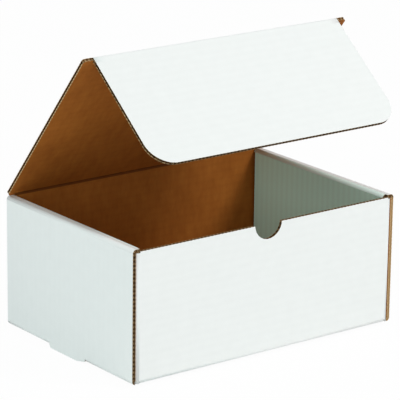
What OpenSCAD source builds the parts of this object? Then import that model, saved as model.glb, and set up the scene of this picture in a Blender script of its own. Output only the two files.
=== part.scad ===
// Roll-end tuck-top mailer box in single-wall corrugated board.
// One folded and rolled tray, a lid panel on the back wall's top crease, and a tuck flap
// on the lid's front crease. Millimetres, +Z up, +X to the right along the front, +Y to the back.
// Origin at the underside of the floor, under the middle of the box. The two foot lips reach below it.

/* [Inside space] */
// Clear width between the rolled side walls
inside_w = 229; // [150:1:400]
// Clear depth between the front wall and the back wall
inside_d = 160; // [110:1:300]
// Clear height from the floor to the closed lid
inside_h = 100; // [60:1:200]

/* [Board] */
// Thickness of the corrugated board
board_t = 2.7; // [2.2:0.1:3.4]
// Distance from one flute to the next
flute_pitch = 6.35; // [5:0.05:8]
// Thickness of each flat liner of the board, drawn stout enough to be a sound solid
liner_t = 0.4; // [0.25:0.05:0.5]
// Thickness of the wavy paper between the liners
medium_t = 0.35; // [0.2:0.05:0.45]
// Air left between two layers of board that lie on each other
layer_gap = 0.2; // [0.1:0.05:0.5]

/* [Front and side walls] */
// How far the front wall's cut top edge stays below the rolled side walls
front_drop = 1.8; // [0.5:0.1:6]
// How far the side walls' cut edges stay behind the faces of the front and back walls
side_set_back = 0.8; // [0.2:0.1:2.5]
// Air between the inner side walls and the front and back walls
inner_end_gap = 0.8; // [0.4:0.1:3]
// Radius of the thumb notch in the front wall's top edge
notch_r = 12.7; // [8:0.1:20]
// Height of the notch's centre above the front wall's top edge
notch_rise = 1; // [0:0.1:5]
// Depth of the groove that shows between the liners along an upright cut edge
edge_groove = 1.6; // [0.8:0.1:3]

/* [Corner flaps] */
// Length of the flaps that the front and back walls send between the side walls
corner_flap_l = 52; // [30:1:54]
// Slope of the corner flap's top and bottom edges over its length
corner_flap_taper = 4; // [0:0.5:8]

/* [Lock tabs and foot lips] */
// Length of the slot beside each bottom crease
slot_l = 47; // [25:1:52]
// How far the slot's middle lies behind the box's middle
slot_shift = 1.5; // [-6:0.5:6]
// Play at each end of the tab in its slot
tab_play = 1.5; // [0.5:0.1:4]
// Play between the tab and the slot's inner side
slot_play = 0.4; // [0.2:0.1:1]
// How far the strip left on the side wall stands out below the box
lip_h = 2.3; // [1:0.1:4]
// Length of the slope at the strip's back end
lip_ramp = 2; // [0.5:0.1:6]
// Length of the long slope at the strip's front end
lip_front_ramp = 11; // [0.5:0.5:16]

/* [Lid and tuck flap] */
// Air between the closed lid and the rolled side walls
lid_seat_gap = 0.2; // [0.1:0.05:1]
// How far each end of the lid stays inside the box's outer width
lid_inset = 0.3; // [0:0.1:3]
// Air between the tuck flap and each rolled side wall
flap_side_gap = 0.6; // [0.3:0.1:5]
// Air between the tucked flap and the front wall
flap_front_gap = 0.4; // [0.3:0.1:2]
// Air between the tucked flap's free edge and the floor
flap_floor_gap = 2.3; // [1:0.1:20]
// Radius of the tuck flap's two free corners
flap_corner_r = 20; // [8:1:40]
// Air between the rounded crease and the panel that turns on it
crease_gap = 0.3; // [0.2:0.05:0.5]
// Length over which the board is crushed thin beside the tuck crease
crush_l = 4; // [3.4:0.1:6]
// Angle of the lid above level, as it stands open
lid_open = 51; // [0:1:180]
// Angle that the tuck flap is folded in from flat
tuck_fold = 90; // [0:1:135]

/* [Hidden] */
$fn = 48;
white_board = [0.93, 0.95, 0.95];
roll_t = 3 * board_t + 2 * layer_gap;
box_w = inside_w + 2 * roll_t;
box_d = inside_d + 2 * board_t;
side_top = inside_h + board_t;
front_top = side_top - front_drop;
flap_face = box_w / 2 - board_t - layer_gap;
inner_face = box_w / 2 - roll_t;
roll_inner = inner_face + board_t;
under_roll = side_top - board_t - layer_gap;
wall_end = flap_face - board_t;
crease_r = board_t / 2;
hinge_y = box_d / 2 - crease_r;
hinge_z = side_top + lid_seat_gap + crease_r;
back_top = hinge_z - crease_r - crease_gap;
lid_l = box_d - 2 * board_t - flap_front_gap;
lid_w = box_w - 2 * lid_inset;
flap_w = inside_w - 2 * flap_side_gap;
flap_l = hinge_z - board_t - flap_floor_gap;
crush_t = 0.2 * board_t;
slot_y0 = slot_shift - slot_l / 2;
slot_y1 = slot_shift + slot_l / 2;
over = 1;

// A right-angled fold in the board: a quarter disc about its inner corner, along +Z for length h.
module fold(h) {
    intersection() {
        cylinder(r = board_t, h = h);
        translate([-board_t - over, -board_t - over, -over])
            cube([board_t + over, board_t + over, h + 2 * over]);
    }
}

// A shape drawn for the right side, and its mirror image on the left side.
module both_sides() {
    children();
    mirror([1, 0, 0]) children();
}

// One flute's cross-section: the two channels left between the wavy paper and the liners.
// Drawn about the board's mid plane, u along the board and v through it.
module flute_channels() {
    half = board_t / 2 - liner_t;
    foot = flute_pitch * 0.1;
    wall = medium_t * 0.8;
    polygon([[-flute_pitch / 2 + foot + wall, half], [flute_pitch / 2 - foot - wall, half],
             [foot + wall * 0.4, -half + medium_t], [-foot - wall * 0.4, -half + medium_t]]);
    translate([flute_pitch / 2, 0])
        polygon([[-flute_pitch / 2 + foot + wall, -half], [-foot - wall * 0.4, half - medium_t],
                 [foot + wall * 0.4, half - medium_t], [flute_pitch / 2 - foot - wall, -half]]);
}

// Flute channels from u0 to u1, as many whole ones as fit, centred.
module flute_row(u0, u1) {
    count = max(1, floor((u1 - u0) / flute_pitch - 0.5));
    start = (u0 + u1) / 2 - (count - 0.5) * flute_pitch / 2;
    for (i = [0 : count - 1])
        translate([start + i * flute_pitch, 0]) flute_channels();
}

// Floor panel between the two long creases, with the lock slots beside the side creases.
module floor_panel() {
    difference() {
        translate([-box_w / 2 + board_t, -box_d / 2 + board_t, 0])
            cube([box_w - 2 * board_t, box_d - 2 * board_t, board_t]);
        both_sides()
            translate([inner_face - slot_play, slot_y0, -over])
                cube([roll_t, slot_l, board_t + 2 * over]);
    }
}

// An upright wall along X with its outer face on y = -box_d / 2, up to height top. Its ends
// step down to pass under the rolled side walls.
module cross_wall(top) {
    step = roll_inner - layer_gap;
    translate([0, -box_d / 2 + board_t, 0]) rotate([90, 0, 0])
        linear_extrude(board_t)
            polygon([[-wall_end, board_t], [wall_end, board_t], [wall_end, under_roll],
                     [step, under_roll], [step, top], [-step, top], [-step, under_roll],
                     [-wall_end, under_roll]]);
}

// Front wall, cut with the thumb notch, and the crease that joins it to the floor.
module front_wall() {
    difference() {
        cross_wall(front_top);
        translate([0, -box_d / 2 - over, front_top + notch_rise])
            rotate([-90, 0, 0]) cylinder(r = notch_r, h = board_t + 2 * over);
    }
    floor_crease(-1);
}

// Back wall up to the lid's crease, and the crease that joins it to the floor.
module back_wall() {
    mirror([0, 1, 0]) cross_wall(back_top);
    floor_crease(1);
}

// The rounded crease between the floor and the front (-1) or back (1) wall.
module floor_crease(side) {
    mirror([0, side > 0 ? 1 : 0, 0])
        translate([-wall_end, -box_d / 2 + board_t, board_t])
            rotate([90, 0, 90]) fold(2 * wall_end);
}

// Corner flap on the right: it turns off the front (-1) or back (1) wall and lies between
// the outer and the inner side wall.
module corner_flap(side) {
    z0 = board_t + layer_gap;
    z1 = under_roll;
    y0 = box_d / 2 - board_t;
    mirror([0, side > 0 ? 1 : 0, 0]) {
        translate([wall_end, -y0, z0]) mirror([1, 0, 0]) fold(z1 - z0);
        translate([flap_face, 0, 0]) rotate([0, -90, 0])
            linear_extrude(board_t)
                polygon([[z0, -y0], [z1, -y0], [z1 - corner_flap_taper, -y0 + corner_flap_l],
                         [z0 + corner_flap_taper, -y0 + corner_flap_l]]);
    }
}

// Outer side wall on the right, with the strip that the slot leaves below its crease.
module outer_side_wall() {
    run = box_d - 2 * side_set_back;
    face = box_w / 2;
    difference() {
        union() {
            translate([face - board_t, -run / 2, board_t])
                cube([board_t, run, side_top - 2 * board_t]);
            difference() {
                translate([face - board_t, run / 2, board_t])
                    rotate([90, 0, 0]) mirror([1, 0, 0]) fold(run);
                translate([face - board_t - over, slot_y0, -over])
                    cube([board_t + 2 * over, slot_l, board_t + 2 * over]);
            }
            translate([face, 0, 0]) rotate([0, -90, 0])
                linear_extrude(board_t)
                    polygon([[board_t, slot_y0], [0, slot_y0], [-lip_h, slot_y0 + lip_front_ramp],
                             [-lip_h, slot_y1 - lip_ramp], [0, slot_y1], [board_t, slot_y1]]);
        }
        // The upright cut edges show the hollow between the liners.
        for (side = [-1, 1])
            translate([face - board_t + liner_t, side * run / 2 - edge_groove, board_t])
                cube([board_t - 2 * liner_t, 2 * edge_groove, side_top - 2 * board_t]);
    }
}

// Top of the rolled side wall on the right: two folds with a flat strip between them.
module roll_top() {
    run = box_d - 2 * side_set_back;
    inner_run = box_d - 2 * (board_t + inner_end_gap);
    face = box_w / 2;
    translate([face - board_t, -run / 2, side_top - board_t])
        rotate([-90, 0, 0]) mirror([1, 0, 0]) fold(run);
    translate([roll_inner, -run / 2, side_top - board_t])
        cube([face - board_t - roll_inner, run, board_t]);
    translate([roll_inner, -inner_run / 2, side_top - board_t])
        rotate([-90, 0, 0]) fold(inner_run);
}

// Inner side wall on the right, hung from the roll's top, with the tab that locks in the slot.
module inner_side_wall() {
    inner_run = box_d - 2 * (board_t + inner_end_gap);
    z0 = board_t + layer_gap;
    translate([inner_face, -inner_run / 2, z0])
        cube([board_t, inner_run, side_top - board_t - z0]);
    translate([inner_face, slot_y0 + tab_play, 0])
        cube([board_t, slot_l - 2 * tab_play, z0 + over]);
}

// The tray: floor, front and back walls, corner flaps and rolled side walls in one sheet.
module tray() {
    color(white_board) {
        floor_panel();
        front_wall();
        back_wall();
        both_sides() {
            corner_flap(-1);
            corner_flap(1);
            outer_side_wall();
            roll_top();
            inner_side_wall();
        }
    }
}

// Lid panel in its own frame: hinge crease along X at the origin, panel towards -Y, inside down.
// Both ends are rounded creases, and the flutes run along X and open at both cut edges.
module lid_flat() {
    rotate([90, 0, 90]) translate([0, 0, -lid_w / 2])
        linear_extrude(lid_w)
            difference() {
                union() {
                    circle(r = crease_r);
                    translate([-lid_l, 0]) circle(r = crease_r);
                    polygon([[0, -crease_r], [0, crease_r], [-lid_l, crease_r], [-lid_l, 0],
                             [-lid_l + crease_r, -crush_t], [-lid_l + crush_l, -crease_r]]);
                }
                flute_row(-lid_l + crush_l, -crush_l);
            }
}

// Tuck flap in the lid's frame before it is folded: its crease along X at the origin,
// the flap towards -Y, inside down, with its free corners rounded.
module flap_flat() {
    root = crease_r + crease_gap;
    intersection() {
        rotate([90, 0, 90]) translate([0, 0, -flap_w / 2])
            linear_extrude(flap_w)
                difference() {
                    polygon([[-root, crease_r], [-flap_l, crease_r], [-flap_l, -crease_r],
                             [-root - crush_l, -crease_r], [-root, -crush_t]]);
                    flute_row(-flap_l + liner_t, -root - crush_l);
                }
        translate([0, 0, -board_t])
            linear_extrude(2 * board_t)
                union() {
                    translate([-flap_w / 2, -flap_l + flap_corner_r])
                        square([flap_w, flap_l - flap_corner_r]);
                    translate([-flap_w / 2 + flap_corner_r, -flap_l])
                        square([flap_w - 2 * flap_corner_r, flap_corner_r + over]);
                    for (side = [-1, 1])
                        translate([side * (flap_w / 2 - flap_corner_r), -flap_l + flap_corner_r])
                            circle(r = flap_corner_r, $fn = 64);
                }
    }
}

// Turns what is drawn in the lid's frame to the lid's open place on the back wall.
module on_back_wall() {
    translate([0, hinge_y, hinge_z]) rotate([-lid_open, 0, 0]) children();
}

module lid_panel() {
    color(white_board) on_back_wall() lid_flat();
}

module tuck_flap() {
    color(white_board)
        on_back_wall() translate([0, -lid_l, 0]) rotate([tuck_fold, 0, 0]) flap_flat();
}

tray();
lid_panel();
tuck_flap();
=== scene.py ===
"""An open mailer box in corrugated board, white outside and brown inside.

The box is one die-cut sheet. The flutes run along X on the flat sheet, so they are level in the
floor, the front, the back, the lid and the tuck flap, and upright in the two side walls.
Sizes are in millimetres in the classes below and become metres where a point is placed.
"""

from __future__ import annotations

import logging
import math
from collections.abc import Callable
from dataclasses import dataclass, field
from enum import Enum
from functools import partial

import bmesh
import bpy
from mathutils import Matrix, Vector

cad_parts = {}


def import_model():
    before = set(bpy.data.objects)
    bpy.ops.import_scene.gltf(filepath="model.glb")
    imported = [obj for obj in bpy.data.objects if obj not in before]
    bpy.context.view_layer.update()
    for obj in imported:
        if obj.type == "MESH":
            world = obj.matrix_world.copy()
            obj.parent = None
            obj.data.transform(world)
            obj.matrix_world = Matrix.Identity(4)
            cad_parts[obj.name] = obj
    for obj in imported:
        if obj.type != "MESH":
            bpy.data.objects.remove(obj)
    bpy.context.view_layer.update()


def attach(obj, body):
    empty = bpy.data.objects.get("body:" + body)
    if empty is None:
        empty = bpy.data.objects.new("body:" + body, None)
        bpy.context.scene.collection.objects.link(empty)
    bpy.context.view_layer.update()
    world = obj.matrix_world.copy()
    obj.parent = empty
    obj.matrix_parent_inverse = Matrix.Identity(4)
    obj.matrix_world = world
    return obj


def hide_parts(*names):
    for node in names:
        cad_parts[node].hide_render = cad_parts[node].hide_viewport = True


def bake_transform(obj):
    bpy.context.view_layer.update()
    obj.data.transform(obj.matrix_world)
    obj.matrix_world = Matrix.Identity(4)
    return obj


LOG = logging.getLogger("mailer_box")
MM = 0.001
X, Y, Z = Vector((1, 0, 0)), Vector((0, 1, 0)), Vector((0, 0, 1))

Point = tuple[float, float]
Node = bpy.types.Node
Material = bpy.types.Material


def srgb(code: str) -> tuple[float, float, float, float]:
    """Turns a colour written as on a screen into the linear values that the shaders take.

    Args:
        code: Six hex digits, such as "8a5f30".

    Returns:
        Red, green, blue and alpha, linear.
    """
    values = [int(code[i : i + 2], 16) / 255 for i in (0, 2, 4)]
    linear = [v / 12.92 if v <= 0.04045 else ((v + 0.055) / 1.055) ** 2.4 for v in values]
    return (linear[0], linear[1], linear[2], 1.0)


def add_node(tree: bpy.types.NodeTree, kind: str, inputs: dict | None = None, **settings) -> Node:
    """Adds a node with its settings, and fills or links its inputs.

    Args:
        tree: The node tree that gets the node.
        kind: The node's type name.
        inputs: Socket name or number to a value, to the output socket that feeds it, or to a
            node whose first output feeds it.
        **settings: The node's own properties.

    Returns:
        The new node.
    """
    node = tree.nodes.new(kind)
    for name, value in settings.items():
        setattr(node, name, value)
    for key, value in (inputs or {}).items():
        if isinstance(value, Node):
            value = value.outputs[0]
        if isinstance(value, bpy.types.NodeSocket):
            tree.links.new(value, node.inputs[key])
        else:
            node.inputs[key].default_value = value
    return node


def put_in_scene(name: str, data: bpy.types.ID) -> bpy.types.Object:
    """Makes an object of this name and data, at the origin."""
    made = bpy.data.objects.new(name, data)
    bpy.context.scene.collection.objects.link(made)
    return made


def rounded(centre: Point, radius: float, start: float, end: float, count: int) -> list[Point]:
    """Gives points on an arc.

    Args:
        centre: The arc's centre.
        radius: The arc's radius.
        start: Angle of its first point, in degrees.
        end: Angle of its last point, in degrees.
        count: Number of steps.

    Returns:
        The points, in order.
    """
    angles = [math.radians(start + (end - start) * i / count) for i in range(count + 1)]
    return [(centre[0] + radius * math.cos(a), centre[1] + radius * math.sin(a)) for a in angles]


# Sizes.


@dataclass(frozen=True)
class Board:
    """The corrugated board, B flute.

    Attributes:
        thickness: Board thickness.
        liner: Thickness of each flat paper.
        medium: Thickness of the wavy paper.
        flute_pitch: Distance from one flute to the next.
        tooth_pitch: Distance between the teeth of the cutting rule, eight to the inch.
        scallop: How far the teeth wave the cut edge.
        recess: How deep the hollow between the liners shows along a cut.
        bead: How far the pressed paper stands up in that hollow at each tooth.
        burr: Width of the fringe that the rule leaves on the inner liner of an open edge.
    """

    thickness: float = 2.7
    liner: float = 0.32
    medium: float = 0.24
    flute_pitch: float = 6.35
    tooth_pitch: float = 3.175
    scallop: float = 0.16
    recess: float = 1.0
    bead: float = 0.92
    burr: float = 0.85


@dataclass(frozen=True)
class BoxSizes:
    """The box's driving sizes, the same as the solid model's.

    Attributes:
        inside_w: Width between the inner side walls.
        inside_d: Depth between the front and the back wall.
        inside_h: Height over the floor.
        board_t: Board thickness.
        layer_gap: Air between layers that lie on each other.
        front_drop: How far the front wall's cut top lies below the rolled tops.
        side_set_back: How far the side walls' ends stand back from the front and the back.
        inner_end_gap: Air at the inner side walls' ends.
        notch_r: Radius of the thumb notch.
        notch_rise: How far its centre lies above the front wall's top.
        corner_flap_l: Length of the corner flaps.
        corner_flap_taper: How far their free ends narrow at each side.
        slot_l: Length of the lock slots and of the foot lips that they leave.
        slot_shift: How far their middle lies behind the box's.
        tab_play: Air at each end of a lock tab in its slot.
        slot_play: How far a slot reaches past the tab's inner face.
        lip_h: How far the foot lips stand below the floor.
        lip_ramp: Length of the slope at their back end.
        lip_front_ramp: Length of the slope at their front end.
        lid_seat_gap: Air between the closed lid and the rolled tops.
        lid_inset: How far the lid stands in from the box's sides.
        flap_side_gap: Air beside the tuck flap in the closed box.
        flap_front_gap: Air between it and the front wall.
        flap_floor_gap: Air below it.
        flap_corner_r: Radius of its two corners.
        lid_open: How far the lid stands open in the photograph, in degrees.
    """

    inside_w: float = 229.0
    inside_d: float = 160.0
    inside_h: float = 100.0
    board_t: float = 2.7
    layer_gap: float = 0.2
    front_drop: float = 1.8
    side_set_back: float = 0.8
    inner_end_gap: float = 0.8
    notch_r: float = 12.7
    notch_rise: float = 1.0
    corner_flap_l: float = 52.0
    corner_flap_taper: float = 4.0
    slot_l: float = 47.0
    slot_shift: float = 1.5
    tab_play: float = 1.5
    slot_play: float = 0.4
    lip_h: float = 2.3
    lip_ramp: float = 2.0
    lip_front_ramp: float = 11.0
    lid_seat_gap: float = 0.2
    lid_inset: float = 0.3
    flap_side_gap: float = 0.6
    flap_front_gap: float = 0.4
    flap_floor_gap: float = 2.3
    flap_corner_r: float = 20.0
    lid_open: float = 51.0

    @property
    def box_w(self) -> float:
        """Outer width over both rolled side walls."""
        return self.inside_w + 2 * (3 * self.board_t + 2 * self.layer_gap)

    @property
    def box_d(self) -> float:
        """Outer depth over the front and back walls."""
        return self.inside_d + 2 * self.board_t

    @property
    def side_top(self) -> float:
        """Height of the rolled side walls."""
        return self.inside_h + self.board_t

    @property
    def front_top(self) -> float:
        """Height of the front wall's cut edge."""
        return self.side_top - self.front_drop

    @property
    def under_roll(self) -> float:
        """Height of what passes under the rolled tops."""
        return self.side_top - self.board_t - self.layer_gap

    @property
    def flap_face(self) -> float:
        """Half width over the corner flaps."""
        return self.box_w / 2 - self.board_t - self.layer_gap

    @property
    def wall_end(self) -> float:
        """Half width of the flat front and back walls."""
        return self.flap_face - self.board_t

    @property
    def inner_face(self) -> float:
        """Half width between the inner side walls."""
        return self.inside_w / 2

    @property
    def roll_inner(self) -> float:
        """Where the rolled top's inner fold turns down."""
        return self.inner_face + self.board_t

    @property
    def throat(self) -> float:
        """Half width that is free between the rolled tops."""
        return self.roll_inner - self.layer_gap

    @property
    def lid_l(self) -> float:
        """From the lid's hinge line to the tuck flap's crease line."""
        return self.box_d - 2 * self.board_t - self.flap_front_gap

    @property
    def lid_half(self) -> float:
        """Half width of the lid."""
        return self.box_w / 2 - self.lid_inset

    @property
    def flap_half(self) -> float:
        """Half width of the tuck flap."""
        return self.inside_w / 2 - self.flap_side_gap

    @property
    def hinge(self) -> Vector:
        """A point of the lid's hinge line."""
        return Vector(
            (0, self.box_d / 2 - self.board_t / 2, self.side_top + self.lid_seat_gap + self.board_t / 2)
        )

    @property
    def flap_l(self) -> float:
        """From the tuck flap's crease line to its free edge."""
        return self.hinge.z - self.board_t - self.flap_floor_gap

    @property
    def slot_ends(self) -> tuple[float, float]:
        """Front and back end of the lock slots."""
        return self.slot_shift - self.slot_l / 2, self.slot_shift + self.slot_l / 2


# The sheet as a mesh.


class Face(Enum):
    """What a face of the sheet shows, and its place in the piece's material list."""

    WHITE = 0
    BROWN = 1
    CUT = 2


class Cut(Enum):
    """How a side of a panel ends."""

    FOLD = "goes on into a fold"
    ALONG = "cut along the flutes"
    ACROSS = "cut across the flutes"


@dataclass(frozen=True)
class Side:
    """One side of a panel's outline, in the panel's own coordinates.

    Attributes:
        points: Its points, in order round the outline with the board on the left.
        cut: How it ends.
        run: Where the tooth pattern starts, so that it goes on round a fold.
        tone: How dark its raw edge is; None takes the sheet's tone.
    """

    points: list[Point]
    cut: Cut
    run: float = 0.0
    tone: float | None = None


@dataclass
class Mark:
    """A point of a panel's outline.

    Attributes:
        at: Its place, in the panel's own coordinates.
        normal: The way into the board, square to the length that starts there.
        run: Distance along the cut.
        corner: True where two lengths of the outline meet.
        inward: The way into the board that both lengths share.
        wave: How far the cutting rule's teeth set the edge back.
    """

    at: Point
    normal: Point
    run: float
    corner: bool
    inward: Point = (0.0, 0.0)
    wave: float = 0.0

    def rim(self) -> Point:
        """Gives the point of the toothed edge."""
        return self.at[0] + self.inward[0] * self.wave, self.at[1] + self.inward[1] * self.wave


@dataclass(frozen=True)
class Plane:
    """Where a flat panel lies.

    Attributes:
        origin: Place of the panel's zero point on its white face, in millimetres.
        along: Direction of the panel's first coordinate.
        across: Direction of its second.
        outward: Direction that the white face looks.
        phase: Where the panel's zero point lies on the flat sheet, across the flutes.
    """

    origin: Vector
    along: Vector
    across: Vector
    outward: Vector
    phase: float = 0.0

    def place(self, u: float, v: float, w: float) -> Vector:
        """Gives the point at u along, v across and w deep, in metres."""
        return (self.origin + self.along * u + self.across * v - self.outward * w) * MM

    def turn(self, du: float, dv: float) -> Vector:
        """Gives a direction in the panel as a direction in space."""
        return self.along * du + self.across * dv


@dataclass
class Station:
    """A point of a cut edge.

    Attributes:
        point: Its place on the white face, in millimetres.
        depth: From the white face to the brown face.
        inward: The way into the sheet, square to the edge.
        run: Distance along the cut.
    """

    point: Vector
    depth: Vector
    inward: Vector
    run: float


class SheetMesh:
    """Gathers the faces of one piece of board, with the sheet's own coordinates as its UV map.

    Attributes:
        edge_tone: How dark the raw edges are that come next, from -1, paler all over, to 1, with the most
            painted shade.
        face_tone: How far the faces that come next go to their finish's second colour: painted shade on the
            white liner, a dark brown on the brown one.
        same: Distance in metres within which two corners of a raw edge's face are one.
        weld: Distance in metres within which points of the mesh are joined.
        still: Length in millimetres below which a step across a crease is left out.
        fold_steps: Number of steps round a fold.
        crease_lengths: Number of lengths that a crease has along its line.
        crease_line: Width of the pressed line in it, to each side.
        crease_tone: The pressed line's face tone, which darkens it: pressed paper and painted shade of the
            inner corner.
        rim_share: Share of the thickness that colours the edge of a liner alone.
        least_mitre: Two edges share a mitre where 1 plus their normals' product is over this.
    """

    same: float = 1e-8
    weld: float = 2e-7
    still: float = 1e-6
    fold_steps: int = 8
    crease_lengths: int = 24
    crease_line: float = 0.8
    crease_tone: float = 0.8
    rim_share: float = 0.04
    least_mitre: float = 0.2

    def __init__(self, board: Board) -> None:
        """Starts an empty mesh.

        Args:
            board: The board that the sheet is cut from.
        """
        self.board = board
        self.mesh = bmesh.new()
        self.uv = self.mesh.loops.layers.uv.new("Sheet")
        self.tone = self.mesh.faces.layers.float.new("Tone")
        self.edge_tone, self.face_tone = 0.3, 0.0

    def add(
        self,
        corners: list[Vector],
        sheet: list[Point],
        face: Face,
        outward: Vector | None = None,
        smooth: bool = False,
    ) -> None:
        """Adds one face.

        Args:
            corners: Its corners in metres.
            sheet: The corners on the flat sheet, in metres.
            face: What it shows.
            outward: The side that it looks to; None keeps the corners' order.
            smooth: True for a face of a round fold.
        """
        made = self.mesh.faces.new([self.mesh.verts.new(c) for c in corners])
        made.material_index = face.value
        made.smooth = smooth
        made[self.tone] = self.edge_tone if face is Face.CUT else self.face_tone
        for loop, place in zip(made.loops, sheet):
            loop[self.uv].uv = place
        if outward is not None:
            made.normal_update()
            if made.normal.dot(outward) < 0:
                made.normal_flip()

    def rows(self, run: float, cut: Cut) -> list[Point]:
        """Gives the section of a cut edge at one point.

        Args:
            run: The point's distance along the cut.
            cut: How the board is cut there.

        Returns:
            Share of the thickness and depth into the sheet in millimetres, from the white face
            to the brown face.
        """
        b = self.board
        liner = b.liner / b.thickness
        if cut is Cut.ACROSS:
            # The wavy paper's end winds between the liners.
            half = b.medium / b.thickness * 0.9
            swing = 0.5 - liner - 1.6 * half
            middle = 0.5 + swing * math.sin(2 * math.pi * run / b.flute_pitch)
            floor, crest = b.recess * 1.5, 0.08
        else:
            # Each tooth presses the paper into a bead in the middle.
            half, middle = 0.13, 0.5
            tooth = math.sin(math.pi * run / b.tooth_pitch) ** 2
            floor, crest = b.recess * (0.75 + 0.25 * tooth), b.recess - b.bead * tooth**2
        # Shares that keep the paper off the liners and slope their inner faces, and a rim's depth.
        play, slope, lip = 0.02, 0.01, 0.04
        low = max(middle - 1.5 * half, liner + play)
        high = min(middle + 1.5 * half, 1 - play - liner)
        return [
            (0.0, 0.0),
            (liner, lip),
            (liner + slope, floor),
            (low, floor),
            (middle - half * 0.5, crest),
            (middle + half * 0.5, crest),
            (high, floor),
            (1 - slope - liner, floor),
            (1 - liner, lip),
            (1.0, 0.0),
        ]

    def cut_strip(self, stations: list[Station], cut: Cut) -> None:
        """Adds the raw edge of the board along a cut.

        Args:
            stations: Points of the edge, in order.
            cut: How the board is cut.
        """
        grid = [
            [
                ((s.point + s.depth * share + s.inward * depth) * MM, (s.run * MM, share))
                for share, depth in self.rows(s.run, cut)
            ]
            for s in stations
        ]
        first, second = stations[0], stations[1]
        outward = -(first.inward + second.inward)
        turned = (second.point - first.point).cross(first.depth).dot(outward) < 0
        for a, b in zip(grid, grid[1:]):
            for j in range(len(a) - 1):
                quad = [a[j], b[j], b[j + 1], a[j + 1]]
                if turned:
                    quad.reverse()
                kept = []
                for corner in quad:
                    if all((corner[0] - k[0]).length > self.same for k in kept):
                        kept.append(corner)
                if len(kept) >= 3:
                    self.add([k[0] for k in kept], [k[1] for k in kept], Face.CUT)

    def panel(self, plane: Plane, sides: list[Side], hollow: bool = False) -> None:
        """Adds a flat panel: its white face, its brown face and its raw edges.

        Args:
            plane: Where it lies.
            sides: Its outline, closed, with the board on the left.
            hollow: True to leave it open between the two liners where it is cut across the
                flutes, so that the wavy paper shows.
        """
        b = self.board
        chains = [self._marks(side) for side in sides]
        self._mitre(sides, chains)
        kept = self.edge_tone
        for side, marks in zip(sides, chains):
            if side.cut is not Cut.FOLD:
                self.edge_tone = kept if side.tone is None else side.tone
                self._edge(plane, side.cut, marks, hollow and side.cut is Cut.ACROSS)
        self.edge_tone = kept
        outline = [mark.rim() for marks in chains for mark in marks[:-1]]
        sheet = [(u * MM, (v + plane.phase) * MM) for u, v in outline]
        layers = [(0.0, Face.WHITE, 1), (b.thickness, Face.BROWN, -1)]
        if hollow:
            layers += [(b.liner, Face.BROWN, -1), (b.thickness - b.liner, Face.BROWN, 1)]
        kept = self.face_tone
        for depth, face, sign in layers:
            # The liners' faces inside the open flutes take the darkest brown, as painted shade.
            self.face_tone = kept if face is Face.WHITE else float(0 < depth < b.thickness)
            corners = [plane.place(u, v, depth) for u, v in outline]
            self.add(corners, sheet, face, plane.outward * sign)
        self.face_tone = kept

    def _marks(self, side: Side) -> list[Mark]:
        """Sets out the points along one side of a panel.

        Args:
            side: The side.

        Returns:
            Its points from end to end, four to a tooth along a raw edge.
        """
        marks: list[Mark] = []
        run = side.run
        for p, q in zip(side.points, side.points[1:]):
            length = math.dist(p, q)
            count = 1 if side.cut is Cut.FOLD else max(1, round(length / (self.board.tooth_pitch / 4)))
            normal = (-(q[1] - p[1]) / length, (q[0] - p[0]) / length)
            for i in range(count):
                t = i / count
                at = (p[0] + (q[0] - p[0]) * t, p[1] + (q[1] - p[1]) * t)
                marks.append(Mark(at, normal, run + length * t, i == 0))
            run += length
        marks.append(Mark(side.points[-1], normal, run, True))
        return marks

    def _mitre(self, sides: list[Side], chains: list[list[Mark]]) -> None:
        """Gives each point of an outline its way inward, and sets the raw edges back in waves.

        Args:
            sides: The outline's sides.
            chains: The points along each side.
        """
        pitch = self.board.tooth_pitch
        for k, (side, marks) in enumerate(zip(sides, chains)):
            after, last = (k + 1) % len(sides), len(marks) - 1
            total = marks[last].run - marks[0].run
            for i, mark in enumerate(marks):
                near = [mark.normal]
                if i == 0 and sides[k - 1].cut is not Cut.FOLD:
                    near = [chains[k - 1][-1].normal, mark.normal]
                elif i == last and sides[after].cut is not Cut.FOLD:
                    near = [mark.normal, chains[after][0].normal]
                elif mark.corner and 0 < i < last:
                    near = [marks[i - 1].normal, mark.normal]
                size = 1 + near[0][0] * near[-1][0] + near[0][1] * near[-1][1]
                mark.inward = near[0]
                if len(near) > 1 and size > self.least_mitre:
                    mark.inward = (sum(n[0] for n in near) / size, sum(n[1] for n in near) / size)
                if side.cut is not Cut.FOLD:
                    done = mark.run - marks[0].run
                    fade = min(1.0, done / pitch, (total - done) / pitch)
                    mark.wave = self.board.scallop * fade * (1 - abs(math.cos(math.pi * mark.run / pitch)))

    def _edge(self, plane: Plane, cut: Cut, marks: list[Mark], open_flutes: bool) -> None:
        """Adds the raw edge along one side of a panel.

        Args:
            plane: Where the panel lies.
            cut: How the side is cut.
            marks: The points along it.
            open_flutes: True to add only the two liners' edges.
        """
        b = self.board
        rim = [mark.rim() for mark in marks]
        if not open_flutes:
            depth = -plane.outward * b.thickness
            stations = [
                Station(plane.place(u, v, 0) / MM, depth, plane.turn(*mark.inward), mark.run)
                for (u, v), mark in zip(rim, marks)
            ]
            self.cut_strip(stations, cut)
            return
        for near, far in ((0.0, b.liner), (b.thickness - b.burr, b.thickness)):
            for p, q, mark in zip(rim, rim[1:], marks):
                corners = [plane.place(*at, w) for at, w in ((p, near), (q, near), (q, far), (p, far))]
                sheet = [(mark.run * MM, self.rim_share)] * 4
                self.add(corners, sheet, Face.CUT, -plane.turn(*mark.normal))

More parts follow.
